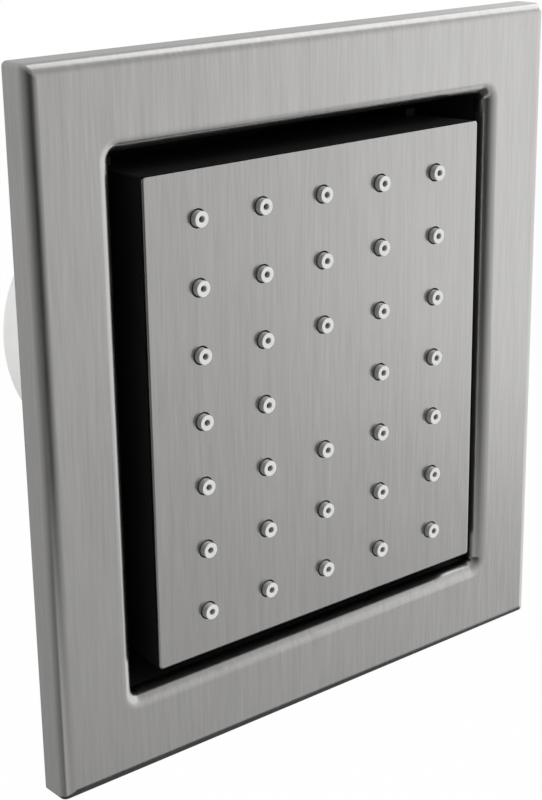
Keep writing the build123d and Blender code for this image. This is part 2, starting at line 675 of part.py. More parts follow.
# Nozzle mat: one silicone sheet with all the nozzles, each with a funnel bore
with BuildPart() as nozzle_mat:
    with BuildSketch(at_depth(mat_back)):
        Rectangle(mat_width, mat_height)
    extrude(amount=MAT_THICKNESS)
    with BuildSketch(at_depth(plate_back)):
        with Locations(nozzle_places()):
            Circle(NOZZLE_RADIUS)
    extrude(amount=plate_back - nozzle_tip)
    chamfer(nozzle_mat.edges().group_by(Axis.Y)[0], NOZZLE_TIP_CHAMFER)
    with BuildSketch(at_depth(mat_back)):
        with Locations(nozzle_places()):
            Circle(NOZZLE_INLET_RADIUS)
    extrude(amount=mat_back - plate_front, mode=Mode.SUBTRACT)
    with BuildSketch(at_depth(plate_front)):
        with Locations(nozzle_places()):
            Circle(NOZZLE_BORE_RADIUS)
    extrude(amount=plate_front - nozzle_tip, mode=Mode.SUBTRACT)
nozzle_mat.part.label = "nozzle_mat"
export_step(nozzle_mat.part, "parts/nozzle_mat.step")

# Head shell: drafted black box with a window for the mat, screw bosses and latch notches
with BuildPart() as head_shell:
    with BuildSketch(at_depth(plate_back)):
        RectangleRounded(plate_width, plate_height, SHELL_CORNER_RADIUS)
    with BuildSketch(at_depth(head_back)):
        RectangleRounded(rear_width, rear_height, SHELL_CORNER_RADIUS)
    loft()
    seat_taper = narrowed(plate_back, shell_seat, HEAD_DRAFT) + SHELL_WALL
    back_taper = head_taper + SHELL_WALL
    with BuildSketch(at_depth(shell_seat)):
        Rectangle(plate_width - 2 * seat_taper, plate_height - 2 * seat_taper)
    with BuildSketch(at_depth(head_back)):
        Rectangle(plate_width - 2 * back_taper, plate_height - 2 * back_taper)
    loft(mode=Mode.SUBTRACT)
    with BuildSketch(at_depth(shell_seat)):
        Rectangle(window_width, window_height)
    extrude(amount=SHELL_FRONT, mode=Mode.SUBTRACT)
    with BuildSketch(at_depth(boss_top)):
        with Locations(boss_places()):
            Circle(BOSS_RADIUS)
    extrude(amount=BOSS_HEIGHT)
    with BuildSketch(at_depth(boss_top)):
        with Locations(boss_places()):
            Circle(HEAD_SCREW_RADIUS + THREAD_CLEARANCE)
    extrude(amount=BOSS_HEIGHT, mode=Mode.SUBTRACT)
    with BuildSketch(at_depth(head_back)):
        with GridLocations(latch_pitch, 0, 2, 1):
            Rectangle(LATCH_WIDTH + 2 * LATCH_CLEARANCE, plate_height)
    extrude(amount=REAR_THICKNESS + LATCH_CLEARANCE, mode=Mode.SUBTRACT)
head_shell.part.label = "head_shell"
export_step(head_shell.part, "parts/head_shell.step")

# Chamber cover: plate with a rim on the mat, the socket hub and ribs that carry the rear cover
with BuildPart() as chamber_cover:
    cover_inset = narrowed(plate_back, cover_back, HEAD_DRAFT) + SHELL_WALL + COVER_CLEARANCE
    rib_reach = plate_width / 2 - cover_inset - RIB_END_GAP
    with BuildSketch(at_depth(cover_back)):
        Rectangle(plate_width - 2 * cover_inset, plate_height - 2 * cover_inset)
    extrude(amount=COVER_THICKNESS)
    with BuildSketch(at_depth(boss_top)):
        Rectangle(mat_width, mat_height)
        Rectangle(mat_width - 2 * RIM_WIDTH, mat_height - 2 * RIM_WIDTH, mode=Mode.SUBTRACT)
    extrude(amount=boss_top - mat_back)
    with BuildSketch(at_depth(hub_end)):
        Circle(HUB_RADIUS)
    extrude(amount=hub_end - cover_back)
    with BuildSketch(at_depth(rear_front)):
        with PolarLocations((HUB_RADIUS + rib_reach) / 2 - RIB_THICKNESS / 2, RIB_COUNT):
            Rectangle(rib_reach - HUB_RADIUS + RIB_THICKNESS, RIB_THICKNESS)
    extrude(amount=rear_front - cover_back)
    with BuildSketch(Plane.XY):
        with BuildLine():
            Polyline(
                (0, boss_top),
                (PASSAGE_RADIUS, boss_top),
                (PASSAGE_RADIUS, PIVOT_DEPTH - SEAL_FRONT),
                (SEAL_RADIUS, PIVOT_DEPTH - SEAL_FRONT),
                (SEAL_RADIUS, PIVOT_DEPTH - SOCKET_FRONT),
                on_sphere(socket_radius, -SOCKET_FRONT),
            )
            ThreePointArc(
                on_sphere(socket_radius, -SOCKET_FRONT),
                on_sphere(socket_radius, -SOCKET_FRONT / 2),
                on_sphere(socket_radius, 0),
            )
            Polyline(
                on_sphere(socket_radius, 0),
                (socket_radius, PIVOT_DEPTH + NUT_FRONT),
                (NUT_RADIUS, PIVOT_DEPTH + NUT_FRONT),
                (NUT_RADIUS, hub_end),
                (0, hub_end),
                (0, boss_top),
            )
        make_face()
    revolve(axis=Axis.Y, mode=Mode.SUBTRACT)
    with BuildSketch(Plane.XY):
        with Locations((0, PIVOT_DEPTH + (NUT_FRONT - PIN_SLOT_LENGTH) / 2)):
            Rectangle(2 * NUT_RADIUS, NUT_FRONT + PIN_SLOT_LENGTH)
    extrude(amount=PIN_RADIUS + PIN_SLOT_CLEARANCE, both=True, mode=Mode.SUBTRACT)
    with BuildSketch(at_depth(cover_back)):
        with Locations(boss_places()):
            Circle(HEAD_SCREW_RADIUS + SCREW_CLEARANCE)
    extrude(amount=COVER_THICKNESS, mode=Mode.SUBTRACT)
chamber_cover.part.label = "chamber_cover"
export_step(chamber_cover.part, "parts/chamber_cover.step")

# Lip seal in the hub, in front of the ball
with BuildPart() as ball_seal:
    with BuildSketch(at_depth(PIVOT_DEPTH - SEAL_FRONT + SEAL_LENGTH)):
        Circle(SEAL_RADIUS - THREAD_CLEARANCE)
    extrude(amount=SEAL_LENGTH)
    with Locations((0, PIVOT_DEPTH, 0)):
        Sphere(seat_inner_radius, mode=Mode.SUBTRACT)
ball_seal.part.label = "ball_seal"
export_step(ball_seal.part, "parts/ball_seal.step")

# Ring nut in the hub: its spherical mouth holds the seat ring and the ball
with BuildPart() as ball_nut:
    with BuildSketch(Plane.XY):
        with BuildLine():
            ThreePointArc(
                on_sphere(socket_radius, NUT_FRONT),
                on_sphere(socket_radius, (NUT_FRONT + NUT_MOUTH) / 2),
                on_sphere(socket_radius, NUT_MOUTH),
            )
            Polyline(
                on_sphere(socket_radius, NUT_MOUTH),
                (on_sphere(socket_radius, NUT_MOUTH)[0] + NUT_FLARE, hub_end),
                (NUT_RADIUS - THREAD_CLEARANCE, hub_end),
                (NUT_RADIUS - THREAD_CLEARANCE, PIVOT_DEPTH + NUT_FRONT),
                on_sphere(socket_radius, NUT_FRONT),
            )
        make_face()
    revolve(axis=Axis.Y)
    with BuildSketch(at_depth(hub_end)):
        with PolarLocations(NUT_RADIUS, NOTCH_COUNT):
            Rectangle(2 * NOTCH_DEPTH, NOTCH_WIDTH)
    extrude(amount=NOTCH_DEPTH, mode=Mode.SUBTRACT)
ball_nut.part.label = "ball_nut"
export_step(ball_nut.part, "parts/ball_nut.step")

# Screws that hold the chamber cover on the shell's bosses
with BuildPart() as head_screws:
    with BuildSketch(at_depth(cover_back)):
        with Locations(boss_places()):
            Circle(HEAD_SCREW_RADIUS)
    extrude(amount=COVER_THICKNESS + HEAD_SCREW_BITE)
    with BuildSketch(at_depth(cover_back + HEAD_SCREW_HEAD_HEIGHT)):
        with Locations(boss_places()):
            Circle(HEAD_SCREW_HEAD_RADIUS)
    extrude(amount=HEAD_SCREW_HEAD_HEIGHT)
head_screws.part.label = "head_screws"
export_step(head_screws.part, "parts/head_screws.step")

# Rear cover: closing plate round the hub, with latch arms that lie on the shell's top and bottom
with BuildPart() as rear_cover:
    rear_inset = head_taper + SHELL_WALL + REAR_CLEARANCE
    arm_tip = head_back - REAR_THICKNESS - LATCH_REACH
    arm_seat = plate_height / 2 - narrowed(plate_back, arm_tip, HEAD_DRAFT)
    with BuildSketch(at_depth(head_back)):
        Rectangle(plate_width - 2 * rear_inset, plate_height - 2 * rear_inset)
        with GridLocations(latch_pitch, 0, 2, 1):
            Rectangle(LATCH_WIDTH, 2 * (arm_seat + LATCH_THICKNESS))
        Circle(HUB_RADIUS + LATCH_CLEARANCE, mode=Mode.SUBTRACT)
    extrude(amount=REAR_THICKNESS)
    with BuildSketch(at_depth(rear_front)):
        for side in (-1, 1):
            with Locations((0, side * (arm_seat + LATCH_THICKNESS / 2))):
                with GridLocations(latch_pitch, 0, 2, 1):
                    Rectangle(LATCH_WIDTH, LATCH_THICKNESS)
    extrude(amount=LATCH_REACH)
rear_cover.part.label = "rear_cover"
export_step(rear_cover.part, "parts/rear_cover.step")
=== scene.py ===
"""Looks of a flush wall body jet: brushed frame, tilting spray plate, soft nozzles, in-wall housing."""

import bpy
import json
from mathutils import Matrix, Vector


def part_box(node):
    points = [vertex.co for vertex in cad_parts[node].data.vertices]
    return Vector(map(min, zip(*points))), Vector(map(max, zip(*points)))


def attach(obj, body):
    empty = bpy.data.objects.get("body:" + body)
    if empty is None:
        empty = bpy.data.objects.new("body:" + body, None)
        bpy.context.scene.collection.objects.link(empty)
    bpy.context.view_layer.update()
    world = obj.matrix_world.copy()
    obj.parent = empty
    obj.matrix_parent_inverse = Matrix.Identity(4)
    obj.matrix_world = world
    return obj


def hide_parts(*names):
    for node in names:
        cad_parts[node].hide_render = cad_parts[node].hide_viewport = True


bl_info = {
    "name": "Flush Body Jet",
    "version": (1, 0, 0),
    "blender": (4, 5, 0),
    "location": "View3D > Sidebar > Body Jet",
    "description": "Builds the pieces, the finishes and the studio of a flush wall body jet",
    "category": "Object",
}

import json
from math import cos, pi, radians, sin

import bpy
from bpy.props import FloatProperty, FloatVectorProperty, IntProperty, PointerProperty
from mathutils import Quaternion, Vector

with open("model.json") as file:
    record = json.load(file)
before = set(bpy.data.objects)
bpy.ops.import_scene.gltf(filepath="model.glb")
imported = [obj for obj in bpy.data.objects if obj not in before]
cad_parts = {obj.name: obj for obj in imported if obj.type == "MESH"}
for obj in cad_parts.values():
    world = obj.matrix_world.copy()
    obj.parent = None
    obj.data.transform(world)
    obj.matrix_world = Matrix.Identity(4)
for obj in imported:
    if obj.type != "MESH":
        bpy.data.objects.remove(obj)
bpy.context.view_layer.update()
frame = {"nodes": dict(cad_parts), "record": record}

MILLIMETRE = 0.001
WALL, HEAD = "wall_unit", "spray_head"

# Share of the rim rounding on each side of the spray plate
PLATE_RIM = {"left": 0.7, "right": 1.0, "bottom": 0.7, "top": 0.25}
# Countersink at the mouth of a jet hole, and how far its cutter runs past the faces that it cuts
NOZZLE_FLARE = 0.12 * MILLIMETRE
OVERCUT = 0.4 * MILLIMETRE
# Width of the thread's triangle along the axis, as a share of an equal-sided one
THREAD_FLATNESS = 0.82
# Facets of round forms and steps of rounded edges
NOZZLE_SIDES = 40
JET_SIDES = 32
THREAD_STEPS = 64
ROUND_STEPS = 6
EDGE_STEPS = 2
# Edges that turn by more than these, in degrees, count as sharp
SMOOTH_ANGLE = 40.0
HOUSING_ANGLE = 30.0
THREAD_ANGLE = 25.0
# Faces of a copied mesh that turn by less than this, in degrees, become one flat
FLAT_ANGLE = 0.5
# Points closer than these, in metres, are one point or lie on one plane
MODEL_MERGE = 1e-7
COPY_MERGE = 1e-6
SAME_PLANE = 1e-6
# Share of an edge's length along Y from which it counts as running along Y
ALONG_Y = 0.9


# Sizes and colours that a user would change

def length(name, description, millimetres):
    """A length property, given in millimetres and kept in metres."""
    return FloatProperty(
        name=name, description=description, default=millimetres * MILLIMETRE,
        min=0.0, precision=5, subtype="DISTANCE", unit="LENGTH",
    )


def colour(name, description, default):
    """A colour property, linear red, green and blue."""
    return FloatVectorProperty(
        name=name, description=description, default=default,
        size=3, min=0.0, max=1.0, subtype="COLOR",
    )


def power(name, description, watts):
    """A lamp's power property."""
    return FloatProperty(name=name, description=description, default=watts, unit="POWER")


class BodyJetSizes(bpy.types.PropertyGroup):
    """Sizes of the pieces that are modelled here."""

    plate_edge: length("Plate edge", "Largest rounding of the spray plate's front rim", 0.85)
    plate_corner: length("Plate corner", "Corner radius of the spray plate", 0.7)
    hole_edge: length("Hole edge", "Broken edge of the nozzle holes", 0.07)
    nozzle_columns: IntProperty(name="Nozzle columns", description="Nozzles across", default=5, min=1)
    nozzle_rows: IntProperty(name="Nozzle rows", description="Nozzles down", default=7, min=1)
    nozzle_margin_x: length("Side margin", "From the plate's side to the first nozzle", 11.27)
    nozzle_margin_z: length("End margin", "From the plate's end to the first nozzle", 8.48)
    nozzle_radius: length("Nozzle radius", "Outside radius of a nozzle at its root", 1.45)
    nozzle_draft: length("Nozzle draft", "How much a nozzle narrows to its tip", 0.02)
    nozzle_rim: length("Nozzle rim", "Rounding of a nozzle's tip", 0.08)
    nozzle_bore: length("Nozzle bore", "Radius of the jet hole", 0.57)
    nozzle_inlet: length("Nozzle inlet", "Radius of the funnel behind the jet hole", 1.0)
    hole_clearance: length("Hole clearance", "Gap between a nozzle and its hole in the plate", 0.28)
    plastic_edge: length("Plastic edge", "Rounding of moulded plastic edges", 0.3)
    thread_bore: length("Thread bore", "Radius of the inlet bore at the thread's crests", 9.3)
    thread_pitch: length("Thread pitch", "Pitch of the inlet thread", 1.814)
    thread_depth: length("Thread depth", "Depth of the inlet thread's groove", 1.16)
    thread_run: length("Thread run", "Length of the inlet thread from its mouth", 12.2)


class BodyJetFinishes(bpy.types.PropertyGroup):
    """Colours of the finishes."""

    nickel: colour("Nickel", "Brushed nickel of the frame", (0.60, 0.594, 0.580))
    # The plate's nickel is the frame's nickel made darker by one factor: painted shade.
    sheet: colour("Nickel sheet", "Brushed nickel of the spray plate", (0.560, 0.554, 0.541))
    black: colour("Black plastic", "Moulded black plastic", (0.016, 0.016, 0.016))
    white: colour("White plastic", "Moulded white housing", (0.80, 0.80, 0.79))
    silicone: colour("Silicone", "Soft nozzles", (0.70, 0.70, 0.69))
    rubber: colour("Rubber", "Seals and gaskets", (0.025, 0.025, 0.026))
    brass: colour("Brass", "Inlet, locknut and ball stem", (0.62, 0.46, 0.22))
    steel: colour("Stainless steel", "Screws, clips, pins and strainer", (0.56, 0.56, 0.55))
    acetal: colour("Acetal", "Seat ring", (0.78, 0.77, 0.72))


class BodyJetStudio(bpy.types.PropertyGroup):
    """Camera and light."""

    lens: FloatProperty(name="Lens", description="Focal length", default=79.876, subtype="DISTANCE_CAMERA")
    roll: FloatProperty(name="Roll", description="Camera roll", default=radians(-0.844), subtype="ANGLE")
    ambient: FloatProperty(name="Ambient", description="Room light on matt surfaces", default=0.35, min=0.0)
    key: power("Key lamp", "Softbox at the right of the camera", 20.0)
    side: power("Side lamp", "Softbox high at the right", 3.9)
    back: power("Back lamp", "Softbox behind at the left", 16.0)


# Shader arithmetic

class Value:
    """A shader socket that takes part in Python arithmetic; each operation adds one Math node."""

    def __init__(self, tree, socket):
        self.tree = tree
        self.socket = socket

    def joined(self, operation, first, second):
        made = self.tree.nodes.new("ShaderNodeMath")
        made.operation = operation
        for place, item in enumerate((first, second)):
            if isinstance(item, Value):
                self.tree.links.new(item.socket, made.inputs[place])
            else:
                made.inputs[place].default_value = item
        return Value(self.tree, made.outputs[0])

    def __add__(self, other):
        return self.joined("ADD", self, other)

    def __radd__(self, other):
        return self.joined("ADD", other, self)

    def __rsub__(self, other):
        return self.joined("SUBTRACT", other, self)

    def __mul__(self, other):
        return self.joined("MULTIPLY", self, other)

    def __pow__(self, other):
        return self.joined("POWER", self, other)

    def larger(self, other):
        return self.joined("MAXIMUM", self, other)

    def smaller(self, other):
        return self.joined("MINIMUM", self, other)


class Tree:
    """A node tree whose nodes all come from one method."""

    def __init__(self, tree):
        self.tree = tree
        tree.nodes.clear()

    def node(self, kind, settings, sockets):
        made = self.tree.nodes.new(kind)
        for name, setting in settings.items():
            setattr(made, name, setting)
        for name, item in sockets.items():
            socket = next(s for s in made.inputs if s.name == name and s.enabled)
            if isinstance(item, Value):
                self.tree.links.new(item.socket, socket)
            else:
                socket.default_value = item
        return made

    def value(self, made, output):
        return Value(self.tree, next(s for s in made.outputs if s.name == output and s.enabled))

    def ramp(self, share, start, end, low, high):
        """Smooth step of a share: low up to start, high from end on."""
        made = self.node(
            "ShaderNodeMapRange", {"interpolation_type": "SMOOTHSTEP"},
            {"Value": share, "From Min": start, "From Max": end, "To Min": low, "To Max": high},
        )
        return self.value(made, "Result")

    def light_path(self):
        """1 for the rays that should see the white background, 0 for the rays that light the part."""
        path = self.node("ShaderNodeLightPath", {}, {})
        seen = self.value(path, "Is Camera Ray").larger(self.value(path, "Is Glossy Ray"))
        return seen.larger(self.value(path, "Is Transmission Ray"))


class Finish(Tree):
    """A material on Object coordinates."""

    def __init__(self, name):
        self.material = bpy.data.materials.new(name)
        self.material.use_nodes = True
        super().__init__(self.material.node_tree)
        self.place = self.value(self.node("ShaderNodeTexCoord", {}, {}), "Object")

    def grain(self, per_metre, detail=2.0, spread=0.5):
        """Noise with this many grains to the metre along X, Y and Z."""
        drawn = self.node("ShaderNodeMapping", {}, {"Vector": self.place, "Scale": per_metre})
        noise = self.node(
            "ShaderNodeTexNoise", {"noise_dimensions": "3D"},
            {"Vector": self.value(drawn, "Vector"), "Scale": 1.0, "Detail": detail, "Roughness": spread},
        )
        return self.value(noise, "Fac")

    def cells(self, per_metre):
        """Distance to the nearest cell centre, with this many cells to the metre."""
        cell = self.node("ShaderNodeTexVoronoi", {}, {"Vector": self.place, "Scale": per_metre})
        return self.value(cell, "Distance")

    def between(self, share, first, second):
        """Colour between two, by a share from 0 to 1."""
        mixed = self.node(
            "ShaderNodeMix", {"data_type": "RGBA"},
            {"Factor": share, "A": (*first, 1.0), "B": (*second, 1.0)},
        )
        return self.value(mixed, "Result")

    def relief(self, height, strength, depth):
        """Bumped normal from a height, with its depth in millimetres."""
        bump = self.node(
            "ShaderNodeBump", {},
            {"Height": height, "Strength": strength, "Distance": depth * MILLIMETRE},
        )
        return self.value(bump, "Normal")

    def done(self, sockets):
        """Closes the material with one surface shader."""
        surface = self.node("ShaderNodeBsdfPrincipled", {}, sockets)
        self.node("ShaderNodeOutputMaterial", {}, {"Surface": self.value(surface, "BSDF")})
        return self.material

    def mixed(self, share, first, second):
        """Closes the material with two shaders, the second by a share from 0 to 1."""
        both = self.node("ShaderNodeMixShader", {}, {"Fac": share})
        for place, shader in enumerate((first, second), start=1):
            self.tree.links.new(shader.outputs[0], both.inputs[place])
        self.node("ShaderNodeOutputMaterial", {}, {"Surface": self.value(both, "Shader")})
        return self.material


def shaded(base, factor):
    """A colour made darker or lighter."""
    return tuple(min(1.0, part * factor) for part in base)


def even(per_metre):
    """The same grain along X, Y and Z."""
    return (per_metre, per_metre, per_metre)


# Finishes of this part

def brushed(name, nickel):
    """Satin nickel brushed upright: fine and broad streaks and a faint cloud in tone, gloss and relief."""
    make = Finish(name)
    fine = make.grain((1650.0, 1650.0, 85.0), 1.5)
    broad = make.grain((500.0, 500.0, 24.0), 2.0)
    cloud = make.grain((45.0, 45.0, 30.0), 1.0)
    streak = fine * 0.58 + broad * 0.34 + cloud * 0.08
    return make.done({
        "Base Color": make.between(streak, shaded(nickel, 0.78), shaded(nickel, 1.22)),
        "Metallic": 1.0,
        "Roughness": 0.16 + streak * 0.14,
        "Normal": make.relief(fine * 0.7 + broad * 0.3, 0.10, 0.04),
    })


def brushed_nickel(colours):
    """The frame's brushing."""
    return brushed("brushed_nickel", colours.nickel)


def brushed_sheet_painted_shade(colours):
    """The spray plate's brushing, in the frame's nickel made darker: painted shade."""
    return brushed("brushed_sheet_painted_shade", colours.sheet)


def black_plastic(colours):
    """Moulded black with a fine spark-eroded grain."""
    make = Finish("black_plastic")
    grain = make.grain(even(2600.0), 3.0, 0.6)
    flow = make.grain(even(60.0), 2.0)
    return make.done({
        "Base Color": make.between(flow, shaded(colours.black, 0.75), shaded(colours.black, 1.25)),
        "Roughness": 0.36 + flow * 0.12 + grain * 0.10,
        "Specular IOR Level": 0.28,
        "Normal": make.relief(grain, 0.18, 0.06),
    })


def white_plastic(colours):
    """Moulded white with a soft sheen and faint flow marks."""
    make = Finish("white_plastic")
    flow = make.grain(even(70.0), 3.0)
    grain = make.grain(even(1800.0), 2.0)
    return make.done({
        "Base Color": make.between(flow, shaded(colours.white, 0.965), shaded(colours.white, 1.03)),
        "Roughness": 0.34 + flow * 0.14,
        "Normal": make.relief(grain, 0.10, 0.04),
    })


def grey_silicone(colours):
    """Soft grey with a powdery skin; its colour carries painted shade: pale at the tips, darker down the
    sides and nearly black at the roots.
    """
    make = Finish("grey_silicone")
    skin = make.grain(even(3000.0), 3.0, 0.6)
    tint = make.grain(even(240.0), 2.0)
    tip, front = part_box("nozzle_mat")[0].y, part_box("spray_plate")[0].y
    depth = make.value(make.node("ShaderNodeSeparateXYZ", {}, {"Vector": make.place}), "Y")
    face_end, side_start = tip + 0.04 * MILLIMETRE, tip + 0.16 * MILLIMETRE
    fade = 0.25 * MILLIMETRE
    # Painted shade: the colour falls from the tip face down the nozzle's side, and to near black at the
    # root by the plate; only the tint added on top is random tone.
    side = make.ramp(depth, face_end, side_start, 0.94, 0.60)
    root = make.ramp(depth, front - fade, front + fade, 1.0, 0.10)
    painted_shade_and_tint = side * root + tint * 0.10
    return make.done({
        "Base Color": make.between(painted_shade_and_tint, shaded(colours.silicone, 0.02), shaded(colours.silicone, 1.12)),
        "Roughness": 0.46 + skin * 0.16,
        "Normal": make.relief(skin, 0.12, 0.04),
    })


def black_rubber(colours):
    """Moulded seal rubber with open pores."""
    make = Finish("black_rubber")
    pores = make.cells(1500.0)
    bloom = make.grain(even(120.0), 3.0)
    return make.done({
        "Base Color": make.between(bloom, shaded(colours.rubber, 0.7), shaded(colours.rubber, 1.4)),
        "Roughness": 0.62 + bloom * 0.2,
        "Specular IOR Level": 0.3,
        "Normal": make.relief(pores, 0.3, 0.12),
    })


def turned_brass(colours):
    """Machined brass: tool rings round the axis and a light tarnish."""
    make = Finish("brass")
    tarnish = make.grain(even(90.0), 3.0)
    rings = make.node(
        "ShaderNodeTexWave", {"wave_type": "RINGS", "rings_direction": "Y"},
        {"Vector": make.place, "Scale": 420.0, "Distortion": 0.6, "Detail": 2.0},
    )
    tool = make.value(rings, "Fac")
    return make.done({
        "Base Color": make.between(tarnish, shaded(colours.brass, 0.82), shaded(colours.brass, 1.15)),
        "Metallic": 1.0,
        "Roughness": 0.20 + tarnish * 0.18,
        "Normal": make.relief(tool, 0.12, 0.05),
    })


def plain_steel(colours):
    """Cold-drawn stainless with a fine grain."""
    make = Finish("stainless")
    drawn = make.grain((2400.0, 160.0, 2400.0), 2.0)
    return make.done({
        "Base Color": make.between(drawn, shaded(colours.steel, 0.85), shaded(colours.steel, 1.15)),
        "Metallic": 1.0,
        "Roughness": 0.24 + drawn * 0.16,
        "Normal": make.relief(drawn, 0.08, 0.03),
    })


def natural_acetal(colours):
    """Waxy off-white engineering plastic."""
    make = Finish("natural_acetal")
    wax = make.grain(even(160.0), 3.0)
    return make.done({
        "Base Color": make.between(wax, shaded(colours.acetal, 0.94), shaded(colours.acetal, 1.05)),
        "Roughness": 0.38 + wax * 0.12,
        "Normal": make.relief(wax, 0.06, 0.05),
    })


FINISHES = {
    "brushed_nickel": brushed_nickel,
    "brushed_sheet_painted_shade": brushed_sheet_painted_shade,
    "black_plastic": black_plastic,
    "white_plastic": white_plastic,
    "grey_silicone": grey_silicone,
    "black_rubber": black_rubber,
    "brass": turned_brass,
    "stainless": plain_steel,
    "natural_acetal": natural_acetal,
}
made_finishes = {}


def finish(slot):
    """The material of a slot, made once."""
    if slot not in made_finishes:
        made_finishes[slot] = FINISHES[slot](bpy.context.scene.body_jet_finishes)
    return made_finishes[slot]


def dress(*nodes):
    """Gives CAD nodes the finish of their own slot."""
    slots = {row["node"]: row["material_slot"] for row in frame["record"]["subparts"]}
    for node in nodes:
        for place in frame["nodes"][node].material_slots:
            place.material = finish(slots[node])


# Modelling by hand

def alone(piece):
    """Selects one piece and makes it active."""
    bpy.ops.object.select_all(action="DESELECT")
    piece.select_set(True)
    bpy.context.view_layer.objects.active = piece


def named(name):
    """Names the new primitive and puts its place into its mesh."""
    piece = bpy.context.object
    piece.name = name
    piece.data.name = name
    bpy.ops.object.transform_apply(location=True, rotation=True, scale=True)
    return piece


def block(name, low, high):
    """A box between two corners."""
    low, high = Vector(low), Vector(high)
    bpy.ops.object.select_all(action="DESELECT")
    bpy.ops.mesh.primitive_cube_add(size=1.0, location=(low + high) / 2, scale=high - low)
    return named(name)


def turned(name, profile, sides):
    """A closed solid turned round the Y axis: a ring extruded from point to point (radius, depth)."""
    radius, depth = profile[0]
    bpy.ops.object.select_all(action="DESELECT")
    bpy.ops.mesh.primitive_circle_add(
        vertices=sides, radius=radius, fill_type="NOTHING", location=(0, depth, 0), rotation=(pi / 2, 0, 0),
    )
    piece = named(name)
    bpy.ops.object.mode_set(mode="EDIT")
    bpy.ops.mesh.select_all(action="SELECT")
    for next_radius, next_depth in profile[1:]:
        bpy.ops.mesh.extrude_region_move(TRANSFORM_OT_translate={"value": (0, next_depth - depth, 0)})
        ratio = next_radius / radius
        bpy.ops.transform.resize(value=(ratio, 1, ratio), center_override=(0, next_depth, 0))
        radius, depth = next_radius, next_depth
    close_up()
    return piece


def close_up():
    """Merges doubles, fills open ends, turns the faces outwards and leaves edit mode."""
    bpy.ops.mesh.select_all(action="SELECT")
    bpy.ops.mesh.remove_doubles(threshold=MODEL_MERGE)
    bpy.ops.mesh.fill_holes(sides=0)
    bpy.ops.mesh.select_all(action="SELECT")
    bpy.ops.mesh.normals_make_consistent(inside=False)
    bpy.ops.object.mode_set(mode="OBJECT")


def arc(centre, radius, start, end, steps):
    """Profile points on an arc, angles in degrees from the radius axis towards depth."""
    angles = [radians(start + (end - start) * step / steps) for step in range(steps + 1)]
    return [(centre[0] + radius * cos(a), centre[1] + radius * sin(a)) for a in angles]


def repeated(model, name, places):
    """Copies of a model at each place, joined into one piece; the model itself is used up."""
    copies = []
    for place in places:
        alone(model)
        bpy.ops.object.duplicate()
        copy = bpy.context.object
        bpy.ops.transform.translate(value=place)
        bpy.ops.object.transform_apply(location=True, rotation=False, scale=False)
        copies.append(copy)
    bpy.data.objects.remove(model)
    alone(copies[0])
    for copy in copies:
        copy.select_set(True)
    bpy.ops.object.join()
    copies[0].name = name
    copies[0].data.name = name
    return copies[0]


def copied(node, name):
    """A copy of a CAD node with its loose triangles merged into flats."""
    piece = bpy.data.objects.new(name, frame["nodes"][node].data.copy())
    piece.data.name = name
    bpy.context.scene.collection.objects.link(piece)
    alone(piece)
    bpy.ops.mesh.customdata_custom_splitnormals_clear()
    bpy.ops.object.mode_set(mode="EDIT")
    bpy.ops.mesh.select_all(action="SELECT")
    bpy.ops.mesh.remove_doubles(threshold=COPY_MERGE)
    bpy.ops.mesh.dissolve_limited(angle_limit=radians(FLAT_ANGLE))
    bpy.ops.object.mode_set(mode="OBJECT")
    return piece


def helix(name, radius, depth, start, pitch, turns, steps):
    """A three-sided ridge wound round the Y axis, with its crest outwards at radius plus depth."""
    bpy.ops.object.select_all(action="DESELECT")
    bpy.ops.mesh.primitive_circle_add(
        vertices=3, radius=depth, fill_type="NOTHING", rotation=(0, 0, -pi / 2),
    )
    piece = named(name)
    bpy.ops.object.mode_set(mode="EDIT")
    bpy.ops.mesh.select_all(action="SELECT")
    bpy.ops.transform.resize(value=(1.0, THREAD_FLATNESS, 1.0), center_override=(0, 0, 0))
    bpy.ops.transform.translate(value=(radius, start, 0))
    bpy.ops.object.mode_set(mode="OBJECT")
    modifier = piece.modifiers.new("Wind", "SCREW")
    modifier.axis = "Y"
    modifier.screw_offset = pitch
    modifier.iterations = turns
    modifier.steps = steps
    modifier.render_steps = steps
    bpy.ops.object.modifier_apply(modifier=modifier.name)
    bpy.ops.object.mode_set(mode="EDIT")
    close_up()
    return piece


def combined(piece, tool, operation):
    """Joins a tool to a piece or cuts it out; the tool is used up."""
    alone(piece)
    modifier = piece.modifiers.new("Combine", "BOOLEAN")
    modifier.operation = operation
    modifier.object = tool
    modifier.solver = "EXACT"
    bpy.ops.object.modifier_apply(modifier=modifier.name)
    bpy.data.objects.remove(tool)
    return piece


def rounded_upright(piece, radius, segments):
    """Rounds the edges that run along Y."""
    alone(piece)
    bpy.ops.object.mode_set(mode="EDIT")
    bpy.ops.mesh.select_mode(type="EDGE")
    bpy.ops.mesh.select_all(action="DESELECT")
    bpy.ops.object.mode_set(mode="OBJECT")
    points = piece.data.vertices
    for edge in piece.data.edges:
        run = points[edge.vertices[1]].co - points[edge.vertices[0]].co
        edge.select = abs(run.y) > ALONG_Y * run.length
    bpy.ops.object.mode_set(mode="EDIT")
    bpy.ops.mesh.bevel(offset=radius, segments=segments, affect="EDGES")
    bpy.ops.object.mode_set(mode="OBJECT")
    return piece


